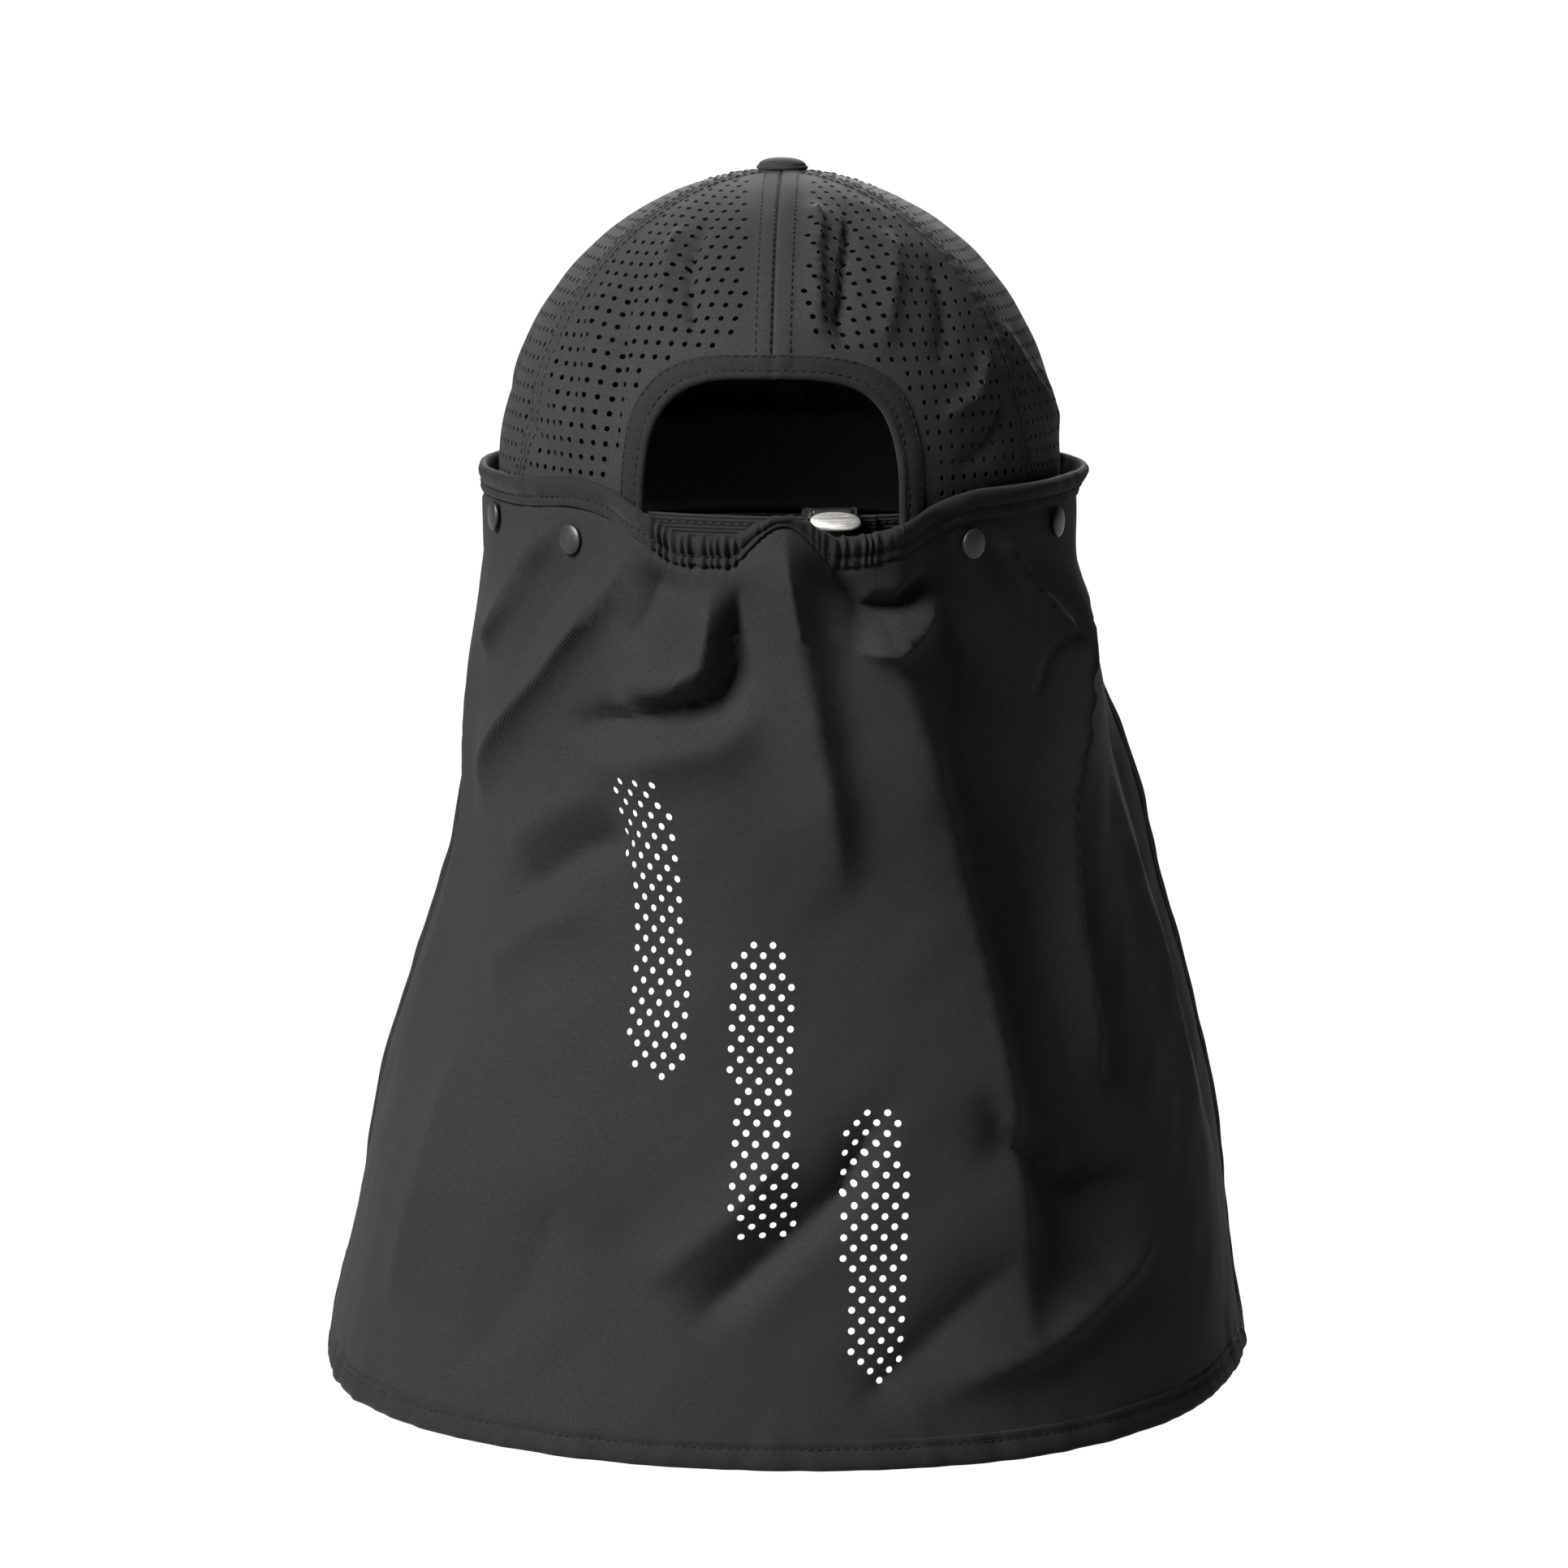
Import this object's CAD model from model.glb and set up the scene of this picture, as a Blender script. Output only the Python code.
"""Looks for the sports cap with a neck cape: cloth, stitching, webbing, snaps and clasp, on the frame.

Metres, +Z up, the wearer faces +Y. A turn is an angle round the head in degrees: 0 at the back, growing
towards +X. A rise is a distance outwards from the crown's or the cape's outer face.
"""

from math import cos, degrees, pi, radians, sin

import bmesh
import bpy
import numpy as np
from mathutils import Matrix, Vector
from mathutils.geometry import delaunay_2d_cdt


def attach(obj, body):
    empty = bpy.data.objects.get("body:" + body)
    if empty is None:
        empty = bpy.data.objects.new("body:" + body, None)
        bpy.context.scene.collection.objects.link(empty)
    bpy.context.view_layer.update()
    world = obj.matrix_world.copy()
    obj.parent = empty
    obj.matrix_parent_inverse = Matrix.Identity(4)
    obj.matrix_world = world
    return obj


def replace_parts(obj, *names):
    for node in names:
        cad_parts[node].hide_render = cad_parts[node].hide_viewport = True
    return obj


# The shapes of the frame, repeated because the frame holds only meshes.
CROWN_HALF_WIDTH = 0.0872
CROWN_HALF_DEPTH = 0.104
CROWN_RADIUS = (CROWN_HALF_WIDTH + CROWN_HALF_DEPTH) / 2
CROWN_WALL_HEIGHT = 0.020
DOME_HEIGHT = 0.0946
DOME_FULLNESS = 2.1
REAR_SEAM = (60.0, 18.0)  # turn, and how far it swings forward at the lower edge
FRONT_SEAM = (120.0, 4.0)
FLARE_HEIGHT = 0.045
SWEATBAND_RISE = -0.0040
SWEATBAND_END_TURN = 33.0
ARCH_HALF_WIDTH = 0.0387
ARCH_TOP = 0.058
ARCH_SPRING = 0.010
ARCH_SQUARENESS = 3.6
BINDING_WIDTH = 0.0065
BUTTON_DIAMETER = 0.0147
BUTTON_HEIGHT = 0.0036
VISOR_LENGTH = 0.068
VISOR_HALF_WIDTH = 0.0885
VISOR_END_TURN = 119.0
VISOR_WIDEST = 0.062
VISOR_ROUNDNESS = 0.72
VISOR_SLOPE = 0.16
VISOR_CURL = 0.026
VISOR_DROP = 0.0003
COVER_THICKNESS = 0.0008
VISOR_UNDER_DROP = VISOR_DROP + COVER_THICKNESS + 0.0018 + 2 * 0.0013
STRAP_BOTTOM = -0.0015
STRAP_WIDTH = 0.019
STRAP_INNER_RISE = -0.0020
STRAP_OUTER_RISE = -0.0006
STRAP_ANCHOR_TURN = 31.0
STRAP_TAIL_TURN = 21.5
CLASP_TURN = 11.6
COVER_WIDTH = 0.0152
COVER_LENGTH = 0.0092
COVER_DOME = 0.0018
COVER_TILT = -24.0
PIN_UP = STRAP_WIDTH / 2 + 0.0014  # from the strap's middle
PIN_OUT = 0.0030
PIN_BORE = 0.00088
SNAP_DIAMETER = 0.0092
SNAP_PLACES = {"rear": (40.0, 0.0080), "side": (67.0, 0.0107), "temple": (103.0, 0.0107)}
CAPE_RISE = 0.0051
CAPE_END_TURN = 114.0
CAPE_FLARE_TOP = -0.004
CAPE_HEM = -0.265
CAPE_WIDENING = 0.0460
CAPE_DEEPENING = 0.0225
CAPE_CORNER_RADIUS = 0.040
WING_FLARE = 0.0170
WING_FLARE_TURN = 75.0
WING_FLARE_DROP = 0.090
CLASP_ROOM = 0.0095
CLASP_ROOM_TURNS = (21.0, 33.0)
CLASP_ROOM_DROP = 0.120
CASING_TOP = 0.0243
CASING_DIP = 0.0113
CASING_DIP_TURNS = (12.0, 44.0)
CASING_HEIGHT = 0.0091
CASING_SIDE_HEIGHT = 0.0086
ELASTIC_END_TURN = 23.0
HEM_BINDING_WIDTH = 0.0090

# What the cloth adds to those shapes.
CLOTH_THICKNESS = 0.00038
VENT_PITCH = 0.0046
VENT_RADIUS = 0.00092
CAPE_VENT_PITCH = (0.0061, 0.0031)
CAPE_VENT_RADIUS = 0.00108
STITCH_PITCH = 0.0027
STITCH_LENGTH = 0.0020
STITCH_RADIUS = 0.00019
HUMP_TURN = 2.5
CASING_SHOULDER = 0.0042
HUMP_REACH = 8.8
HUMP_HEIGHT = 0.0068
CASING_RADIUS = 0.105
GATHER_RADIUS = 0.118
SEAM_RISE = 0.00030
BACK_STRIP = 0.0056  # half the width of the strip over the centre back seam
GORE_MIDDLE = 0.06  # the height at which a panel's centre line is taken
VISOR_STRIPS = 7  # the rows of stitching part the visor into this many strips
# How far the cloth swings towards +X, the height where that starts, and the length it takes.
CAPE_LEANS = ((0.0080, 0.004, 0.11), (-0.0025, -0.11, 0.13))
CAPE_WAISTS = (  # height, reach, and how far the cloth is drawn in on the left and on the right
    (-0.088, 0.044, 0.0040, 0.0064),
    (-0.185, 0.035, -0.0030, 0.0),
    (-0.118, 0.055, 0.0048, 0.0048),
)
HEM_FLARE = (-0.210, 0.045, 0.0042, 0.0010)  # start, length, and how far it goes on the left and on the right
TEMPLE_STAND = 0.0030  # the right-hand end of the top band stands this far off
HEM_LIFT = 0.005  # the right-hand corner hangs this much higher
CAPE_FOLD_DEPTH = 1.15
# The centre of each bar of vents, across and up, and half its length.
VENT_BARS = ((-0.0440, -0.104, 0.045), (-0.0080, -0.152, 0.045), (0.0280, -0.198, 0.041))
VENT_BAR_WIDTH = 0.0100
FINE_BELOW = -0.0165  # the gathers end here and the sharp creases begin
FAR = 9.0  # more than any distance here


def smooth_step(value):
    value = np.clip(value, 0.0, 1.0)
    return value * value * (3 - 2 * value)


def blend(first, second, share):
    return first + (second - first) * share


def unit(vectors):
    return vectors / np.maximum(np.linalg.norm(vectors, axis=-1, keepdims=True), 1e-12)


def lengths_along(line):
    """The length of a line from its start to each of its points."""
    return np.concatenate([[0], np.cumsum(np.linalg.norm(np.diff(line, axis=0), axis=1))])


# The crown's and the cape's surfaces


def dome_share(height):
    up = np.clip((height - CROWN_WALL_HEIGHT) / DOME_HEIGHT, 0.0, 1.0)
    return np.sqrt(1 - up**DOME_FULLNESS)


def crown_place(turn, height, rise=0.0):
    turn, height, rise = np.broadcast_arrays(*(np.asarray(v, float) for v in (turn, height, rise)))
    angle, share = np.radians(turn), dome_share(height)
    level = np.stack(
        [CROWN_HALF_WIDTH * share * np.sin(angle), -CROWN_HALF_DEPTH * share * np.cos(angle), height], -1
    )
    up = np.clip((height - CROWN_WALL_HEIGHT) / DOME_HEIGHT, 0.0, 1.0)
    side = np.sqrt(1 - up * up)[..., None]
    out = unit(np.stack([np.sin(angle) / CROWN_HALF_WIDTH, -np.cos(angle) / CROWN_HALF_DEPTH, 0 * angle], -1))
    normal = unit(out * side + np.stack([0 * up, 0 * up, up * 0.9], -1))
    return level + normal * rise[..., None]


def seam_turn(seam, height):
    base, flare = seam
    return base + flare * np.maximum(1 - height / FLARE_HEIGHT, 0.0) ** 2


def meridian():
    """Heights up the crown and the length of cloth from the lower edge to each."""
    wall = np.linspace(0, CROWN_WALL_HEIGHT, 20)[:-1]
    dome = CROWN_WALL_HEIGHT + DOME_HEIGHT * np.sin(np.linspace(0, pi / 2 - 0.034, 160))
    heights = np.concatenate([wall, dome])
    return heights, lengths_along(np.column_stack([CROWN_RADIUS * dome_share(heights), heights]))


MERIDIAN_HEIGHTS, MERIDIAN_LENGTHS = meridian()


def height_at(length):
    return np.interp(length, MERIDIAN_LENGTHS, MERIDIAN_HEIGHTS)


def length_at(height):
    return np.interp(height, MERIDIAN_HEIGHTS, MERIDIAN_LENGTHS)


def crown_scale(turn, height):
    """Metres of cloth to a radian round the crown."""
    angle = radians(turn)
    speed = np.hypot(CROWN_HALF_WIDTH * cos(angle), CROWN_HALF_DEPTH * sin(angle))
    return speed * np.maximum(dome_share(height), 0.02)


def clasp_room(turn, height):
    near, far = CLASP_ROOM_TURNS
    beside = 1 - smooth_step((np.abs(turn) - near) / (far - near))
    return CLASP_ROOM * beside * (1 - smooth_step((CAPE_FLARE_TOP - height) / CLASP_ROOM_DROP))


def cape_opened(height):
    down = np.maximum(CAPE_FLARE_TOP - height, 0.0) / (CAPE_FLARE_TOP - CAPE_HEM)
    return 0.6 * down + 0.4 * np.sin(pi / 2 * np.minimum(down, 1.0))


def cape_place(turn, height, rise=0.0):
    turn, height, rise = np.broadcast_arrays(*(np.asarray(v, float) for v in (turn, height, rise)))
    angle, opened = np.radians(turn), cape_opened(height)
    aside = np.sin(angle)
    stand = CAPE_RISE + rise + clasp_room(turn, height)
    x = (CROWN_HALF_WIDTH + stand + CAPE_WIDENING * opened) * aside
    y = -(CROWN_HALF_DEPTH + stand + CAPE_DEEPENING * opened) * np.cos(angle)
    past = np.maximum(np.abs(turn) - WING_FLARE_TURN, 0.0) / (CAPE_END_TURN - WING_FLARE_TURN)
    drop = smooth_step((CAPE_FLARE_TOP - height) / WING_FLARE_DROP)
    x = x + WING_FLARE * past**2 * drop * np.sign(turn)
    for lean, start, length in CAPE_LEANS:
        x = x + lean * smooth_step((start - height) / length)
    for middle, reach, left, right in CAPE_WAISTS:
        x = x - np.exp(-(((height - middle) / reach) ** 2)) * np.where(aside > 0, right, left) * aside
    start, length, left, right = HEM_FLARE
    x = x + smooth_step((start - height) / length) * np.where(aside > 0, right, left) * aside
    x = x + TEMPLE_STAND * smooth_step((turn - 70) / 25) * smooth_step((height - 0.015) / 0.008)
    lift = HEM_LIFT * smooth_step((turn - 25) / 65) * smooth_step((-0.06 - height) / 0.2)
    return np.stack([x, y, height + lift], -1)


def cape_scale(height):
    return CROWN_HALF_WIDTH + CAPE_RISE + CAPE_WIDENING * cape_opened(height)


def hump(turn):
    """The ungathered stretch in the middle of the elastic stands up in a rounded hump."""
    return smooth_step(1 - np.abs(turn - HUMP_TURN) / HUMP_REACH) ** 0.7


def casing_top(turn):
    near, far = CASING_DIP_TURNS
    dip = CASING_TOP - CASING_DIP * (1 - smooth_step((np.abs(turn) - near) / (far - near)))
    shoulder = CASING_SHOULDER * smooth_step((-turn - 15.0) / 8.0) * smooth_step((turn + 62.0) / 34.0)
    return dip + shoulder + HUMP_HEIGHT * hump(turn)


def casing_bottom(turn):
    height = blend(CASING_HEIGHT, CASING_SIDE_HEIGHT, smooth_step((np.abs(turn) - 45.0) / 15.0))
    return casing_top(turn) - blend(height, 0.0034, hump(turn))


# Folds: each is a line of (turn, height) points, a height in millimetres, a width and a lean to one side.

CROWN_FOLDS = (
    (((-30, 0.103), (-25, 0.088), (-19.5, 0.073), (-16.5, 0.064)), -3.0, 2.8, 0.5),
    (((-38, 0.101), (-31, 0.086), (-25, 0.069)), 2.2, 5.0, -0.2),
    (((-43, 0.088), (-36, 0.065), (-33, 0.040), (-33, 0.020)), -2.3, 3.2, -0.45),
    (((-52, 0.084), (-44, 0.060), (-40, 0.034)), 2.2, 6.0, 0.2),
    (((20, 0.108), (13, 0.093), (11, 0.078), (11, 0.062)), 3.2, 5.5, -0.6),
    (((31, 0.106), (20, 0.090), (15.5, 0.075), (15.5, 0.056)), -3.4, 4.0, 0.45),
    (((44, 0.100), (32, 0.083), (25, 0.067), (23, 0.059)), 2.4, 5.5, -0.2),
    (((52, 0.092), (45, 0.075), (37, 0.057)), -1.8, 5.0, 0.0),
    (((56, 0.066), (47, 0.051), (35, 0.044)), 2.0, 4.0, 0.2),
    (((57, 0.051), (48, 0.037), (38, 0.030)), -1.9, 3.4, 0.2),
    (((62, 0.074), (72, 0.052), (82, 0.038)), 2.0, 5.5, 0.0),
    (((-59, 0.064), (-51, 0.046), (-40, 0.031)), 1.8, 4.8, 0.0),
    (((-66, 0.046), (-55, 0.034), (-45, 0.026)), -1.5, 3.8, 0.0),
    (((75, 0.060), (82, 0.044), (92, 0.034)), 1.4, 6.0, 0.0),
    (((-76, 0.068), (-84, 0.050), (-96, 0.036)), -1.5, 6.0, 0.0),
    (((100, 0.070), (104, 0.050), (112, 0.034)), -1.2, 6.0, 0.0),
    (((-104, 0.072), (-108, 0.050), (-114, 0.032)), 1.2, 6.0, 0.0),
    (((150, 0.080), (156, 0.056), (160, 0.036)), 0.8, 7.0, 0.0),
    (((-150, 0.084), (-154, 0.060), (-162, 0.040)), -0.8, 7.0, 0.0),
)

CAPE_FOLDS = (
    (((-23, 0.010), (-30, -0.006), (-45, -0.034), (-65, -0.065), (-74, -0.085)), 5.6, 8.5, -0.4),
    (((-17, 0.005), (-21, -0.010), (-27, -0.025)), -4.0, 7.5, 0.0),
    (((-42, 0.015), (-55.5, -0.008), (-71, -0.038)), 4.4, 7.0, -0.5),
    (((-35, 0.004), (-46, -0.014), (-58, -0.040)), -2.2, 8.0, 0.0),
    (
        ((-4, 0.004), (-5.7, -0.012), (-6.3, -0.026), (-10.5, -0.0365), (-24, -0.042), (-44, -0.049)),
        -8.5, 5.2, 0.3,
    ),
    (((-9, 0.000), (-10, -0.016), (-11.5, -0.026), (-17, -0.033), (-32, -0.035)), 4.6, 5.5, 0.0),
    (((-1, -0.036), (-10, -0.050), (-24, -0.056), (-40, -0.062)), 3.6, 9.0, 0.0),
    (((2.5, 0.024), (3.2, 0.004), (5, -0.020), (6.5, -0.050), (9, -0.100)), 8.0, 9.0, -0.35),
    (((9, 0.013), (12, 0.001), (16, -0.0080), (23, -0.0075), (32, 0.003)), -7.5, 4.0, -0.3),
    (((13, -0.020), (20, -0.022), (27, -0.015), (34, -0.003)), 5.5, 6.0, 0.3),
    (((18, -0.010), (22, -0.035), (27, -0.075), (31, -0.120), (33, -0.180), (34, -0.250)), 8.0, 17.0, -0.6),
    (((38, -0.010), (42, -0.060), (46, -0.130), (48, -0.240)), -3.5, 24.0, 0.0),
    (((45, 0.014), (56, -0.006), (68, -0.026)), 4.4, 5.0, -0.4),
    (((86, 0.002), (68, -0.030), (57, -0.070), (53, -0.110), (52, -0.175)), 7.0, 8.5, -0.45),
    (((-56, -0.104), (-40, -0.087), (-25, -0.076)), -6.0, 7.0, 0.3),
    (((-59, -0.091), (-42, -0.073), (-29, -0.064)), 3.4, 9.0, 0.0),
    (((-60, -0.128), (-44, -0.108), (-30, -0.098)), 3.0, 9.0, 0.0),
    (((-43, -0.120), (-32, -0.160), (-25, -0.205)), 3.4, 18.0, 0.0),
    (((-13, -0.226), (-2, -0.203), (8, -0.182), (15, -0.152)), -6.5, 7.5, 0.3),
    (((-19, -0.214), (-7, -0.190), (2, -0.164)), 4.0, 9.0, 0.0),
    (((27, -0.148), (31, -0.168), (42, -0.184), (64, -0.192)), -6.0, 8.0, -0.3),
    (((19, -0.243), (36, -0.232), (50, -0.217), (64, -0.203)), 4.2, 8.0, 0.3),
    (((8, -0.250), (22, -0.222), (34, -0.200)), -3.4, 9.0, 0.0),
    (((-46, -0.248), (-36, -0.214), (-30, -0.180)), -3.2, 12.0, 0.0),
    (((-64, -0.238), (-57, -0.190), (-57, -0.135)), 3.4, 14.0, 0.0),
    (((-80, -0.020), (-84, -0.090), (-86, -0.180)), 3.5, 16.0, 0.0),
    (((-98, -0.030), (-99, -0.120), (-97, -0.220)), -3.0, 15.0, 0.0),
    (((84, -0.060), (86, -0.120), (84, -0.200)), 2.5, 15.0, 0.0),
    (((99, -0.030), (100, -0.120), (98, -0.220)), -3.0, 15.0, 0.0),
)


# Sharp creases: folds so narrow that they show as a bright line.
CAPE_CREASES = (
    (((-25.5, 0.005), (-30, -0.006), (-45, -0.034), (-68, -0.070)), 1.2, 1.9, 0.0),
    (((-45, 0.003), (-55, -0.012), (-68, -0.031)), 0.7, 2.0, 0.0),
    (((-9.2, -0.010), (-10.6, -0.026), (-15, -0.035)), 1.1, 1.7, 0.0),
    (((9.5, -0.013), (15, -0.0215), (23, -0.023)), 0.9, 1.7, 0.0),
    (((71, -0.013), (57, -0.028), (50, -0.044)), 0.8, 1.8, 0.0),
)


def fold_relief(across, along, folds, flat):
    """Adds up the folds at points of flat cloth. flat(turn, height) turns a fold's points into that cloth."""
    total = np.zeros(np.broadcast(across, along).shape)
    for line, height, width, lean in folds:
        points = [flat(turn, up) for turn, up in line]
        runs = [np.hypot(b[0] - a[0], b[1] - a[1]) for a, b in zip(points, points[1:])]
        nearest, side, share, done = np.full(total.shape, FAR), np.ones(total.shape), 0.5 * total, 0.0
        for (ax, ay), (bx, by), run in zip(points, points[1:], runs):
            dx, dy = (bx - ax) / run, (by - ay) / run
            part = np.clip(((across - ax) * dx + (along - ay) * dy) / run, 0, 1)
            off_x, off_y = across - ax - part * run * dx, along - ay - part * run * dy
            distance = np.hypot(off_x, off_y)
            closer = distance < nearest
            side = np.where(closer, np.sign(dx * off_y - dy * off_x), side)
            share = np.where(closer, (done + part * run) / sum(runs), share)
            nearest = np.where(closer, distance, nearest)
            done += run
        reach = width * 0.001 * (1 + lean * side)
        profile = np.exp(-((nearest / reach) ** 2)) * 0.5 + np.exp(-nearest / reach * 2.0) * 0.5
        taper = smooth_step(share / 0.22) * smooth_step((1 - share) / 0.3)
        total = total + height * 0.001 * profile * taper
    return total


def ripples(across, along, scale, seed):
    """Soft irregular waves about one unit high, the same each run."""
    random = np.random.default_rng(seed)
    total = 0.0
    for _ in range(7):
        heading, phase = random.uniform(0, 2 * pi, 2)
        pitch = scale * random.uniform(0.6, 1.8)
        total = total + np.sin((across * cos(heading) + along * sin(heading)) * 2 * pi / pitch + phase)
    return total / 3.5


def seam_relief(offset, strip, raised):
    """The cloth dips at a seam and stands up over its turned-in edges. offset is measured from the seam."""
    gap = np.abs(offset)
    over = raised * (1 - smooth_step((gap - strip) / 0.0008)) * smooth_step(gap / 0.0005)
    stitched = 0.00022 * np.exp(-(((gap - strip + 0.0004) / 0.0007) ** 2))
    return over - 0.0004 * np.exp(-((gap / 0.0006) ** 2)) - stitched


def arch_distance(turn, height):
    """Roughly how far a point of the crown is outside the arch's edge."""
    x = CROWN_HALF_WIDTH * dome_share(height) * np.sin(np.radians(turn))
    half, rise = ARCH_HALF_WIDTH, ARCH_TOP - ARCH_SPRING
    up = np.maximum(height - ARCH_SPRING, 0.0)
    size = ((np.abs(x) / half) ** ARCH_SQUARENESS + (up / rise) ** ARCH_SQUARENESS) ** (1 / ARCH_SQUARENESS)
    behind = np.cos(np.radians(turn)) > 0
    return np.where(behind, (size - 1) * 0.045, 0.1)


def crown_relief(turn, height):
    """How far the crown's cloth stands off its plain shape."""
    turn = (np.asarray(turn, float) + 180) % 360 - 180
    scale = CROWN_RADIUS * np.maximum(dome_share(height), 0.05)
    length = length_at(height)
    across = np.radians(turn) * CROWN_RADIUS

    def flat(fold_turn, fold_height):
        return radians(fold_turn) * CROWN_RADIUS, float(length_at(fold_height))

    relief = fold_relief(across, length, CROWN_FOLDS, flat) + 0.00030 * ripples(across, length, 0.030, 3)
    calm = smooth_step((arch_distance(turn, height) - 0.004) / 0.012) * smooth_step((height - 0.004) / 0.02)
    relief = relief * calm * smooth_step((0.112 - height) / 0.008)
    centre = np.radians(turn) * scale
    relief = relief * (1 - 0.7 * np.exp(-((centre / 0.006) ** 2)))
    raised = np.where(centre > 0, 0.00055, SEAM_RISE)
    relief = relief + seam_relief(centre, BACK_STRIP, raised) * (np.abs(turn) < 90)
    front = np.radians((turn % 360) - 180) * scale
    relief = relief + seam_relief(front, 0.0032, SEAM_RISE) * (np.abs(turn) >= 90)
    pucker = 1 + 0.35 * np.sin(length / 0.0052 * 2 * pi) + 0.25 * np.sin(length / 0.0083 * 2 * pi)
    for seam in (REAR_SEAM, FRONT_SEAM):
        offset = np.radians(np.abs(turn) - seam_turn(seam, height)) * scale
        relief = relief + seam_relief(offset, 0.0030, 0.00040 * pucker)
    return relief


def crown_skin(turn, height, rise=0.0):
    return crown_place(turn, height, rise + crown_relief(turn, height))


def pleats(turn, depth):
    """Gathers of the elastic, strongest at the casing and fading down the cape."""
    gathered = smooth_step((ELASTIC_END_TURN - 1 - np.abs(turn)) / 3) * (1 - hump(turn) ** 0.6)
    across = np.radians(turn) * GATHER_RADIUS * 2 * pi
    drift = 1.5 * np.sin(across / 0.017) + 1.1 * np.sin(across / 0.0091 + 1.0)
    uneven = 0.72 + 0.28 * np.sin(across / 0.0123 + 2.0)
    wave = np.sin(across / 0.0031 + drift + depth / 0.0035)
    return gathered * uneven * wave * np.exp(-np.maximum(depth, 0.0) / 0.005)


def cape_relief(turn, height):
    """How far the cape's cloth stands off its plain shape."""
    turn = np.asarray(turn, float)
    across = np.radians(turn) * cape_scale(height)

    def flat(fold_turn, fold_height):
        return radians(fold_turn) * float(cape_scale(fold_height)), fold_height

    relief = fold_relief(across, height, CAPE_FOLDS, flat) * CAPE_FOLD_DEPTH
    relief = relief + fold_relief(across, height, CAPE_CREASES, flat)
    relief = relief + 0.0009 * ripples(across, height, 0.085, 5) + 0.00025 * ripples(across, height, 0.028, 9)
    below = casing_bottom(turn) - height
    relief = relief * smooth_step((below + 0.006) / 0.016)
    hump_down = hump(turn) * 0.0022 * np.exp(-np.maximum(below, 0) / 0.02)
    relief = relief + hump_down + 0.00030 * pleats(turn, below)
    fringe = np.exp(-np.maximum(height - CAPE_HEM - 0.008, 0) / 0.007)
    slanted = across + 0.35 * (height - CAPE_HEM) * np.sign(turn)
    puckers = 0.5 * ripples(across, across * 0.2, 0.020, 11)
    puckers = puckers + 0.8 * ripples(slanted, across * 0.1, 0.0095, 13)
    return relief * (1 - 0.55 * fringe) + 0.00045 * fringe * puckers


def cape_skin(turn, height, rise=0.0):
    return cape_place(turn, height, rise + cape_relief(turn, height))


# Mesh helpers


def mesh_object(name, points, faces, look, body, slot, coordinates=None):
    mesh = bpy.data.meshes.new(name)
    mesh.from_pydata([tuple(point) for point in points], [], faces)
    mesh.update()
    if coordinates is not None:
        cloth = mesh.attributes.new("cloth", "FLOAT_VECTOR", "POINT")
        cloth.data.foreach_set("vector", np.asarray(coordinates, np.float32).ravel())
    mesh.shade_smooth()
    mesh.materials.append(look)
    made = bpy.data.objects.new(name, mesh)
    bpy.context.scene.collection.objects.link(made)
    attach(made, body)
    return made


def grid_faces(rows, columns, closed_rows=False):
    """Faces between closed rings of points. closed_rows joins the last ring to the first."""
    faces = []
    for row in range(rows if closed_rows else rows - 1):
        here, below = row * columns, (row + 1) % rows * columns
        for column in range(columns):
            beside = (column + 1) % columns
            faces.append((here + column, here + beside, below + beside, below + column))
    return faces


def outward_faces(points, faces):
    """Turns every face of a closed mesh outwards."""
    build = bmesh.new()
    vertices = [build.verts.new(point) for point in points]
    for face in faces:
        build.faces.new([vertices[index] for index in face])
    bmesh.ops.recalc_face_normals(build, faces=build.faces)
    build.verts.index_update()
    found = [[vertex.index for vertex in face.verts] for face in build.faces]
    build.free()
    return found


def lofted(name, rings, look, body, slot, coordinates=None, closed=False):
    """A closed solid through rings, an array of (ring, point, 3). closed joins its last ring to its first."""
    count, size = rings.shape[:2]
    faces = grid_faces(count, size, closed)
    if not closed:
        faces += [tuple(range(size)), tuple(range((count - 1) * size, count * size))[::-1]]
    points = rings.reshape(-1, 3)
    return mesh_object(name, points, outward_faces(points, faces), look, body, slot, coordinates)


def strip(name, node_name, section, line_at, look, slot, body="cap"):
    """A sewn strip that stands for one CAD node. line_at gives the points and cloth of one section corner."""
    lines = [line_at(*corner) for corner in section]
    rings, cloth = (np.stack([line[index] for line in lines], 1) for index in (0, 1))
    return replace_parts(lofted(name, rings, look, body, slot, cloth), node_name)


def on_cloth(across, along):
    """Coordinates on flat cloth, for the weave."""
    across, along = np.broadcast_arrays(across, along)
    return np.stack([across, along, 0 * across], -1)


def wave_along(length, pitch):
    return np.sin(length / pitch * 2 * pi)


def moved(rings, matrix):
    axes = np.array(matrix)
    return rings @ axes[:3, :3].T + axes[:3, 3]


def circle_angles(count):
    return np.arange(count) * 2 * pi / count


def inside_ring(points, ring):
    found = np.zeros(len(points), bool)
    x, y = points[:, 0], points[:, 1]
    for (ax, ay), (bx, by) in zip(ring, np.roll(ring, -1, axis=0)):
        crosses = (ay > y) != (by > y)
        found ^= crosses & (x < (bx - ax) * (y - ay) / (by - ay + 1e-15) + ax)
    return found


def line_distance(points, line):
    nearest = np.full(len(points), FAR)
    for a, b in zip(line, line[1:]):
        run = b - a
        part = np.clip((points - a) @ run / max(run @ run, 1e-15), 0, 1)
        nearest = np.minimum(nearest, np.linalg.norm(points - a - part[:, None] * run, axis=1))
    return nearest


def ring_distance(points, ring):
    return line_distance(points, np.vstack([ring, ring[:1]]))


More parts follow.
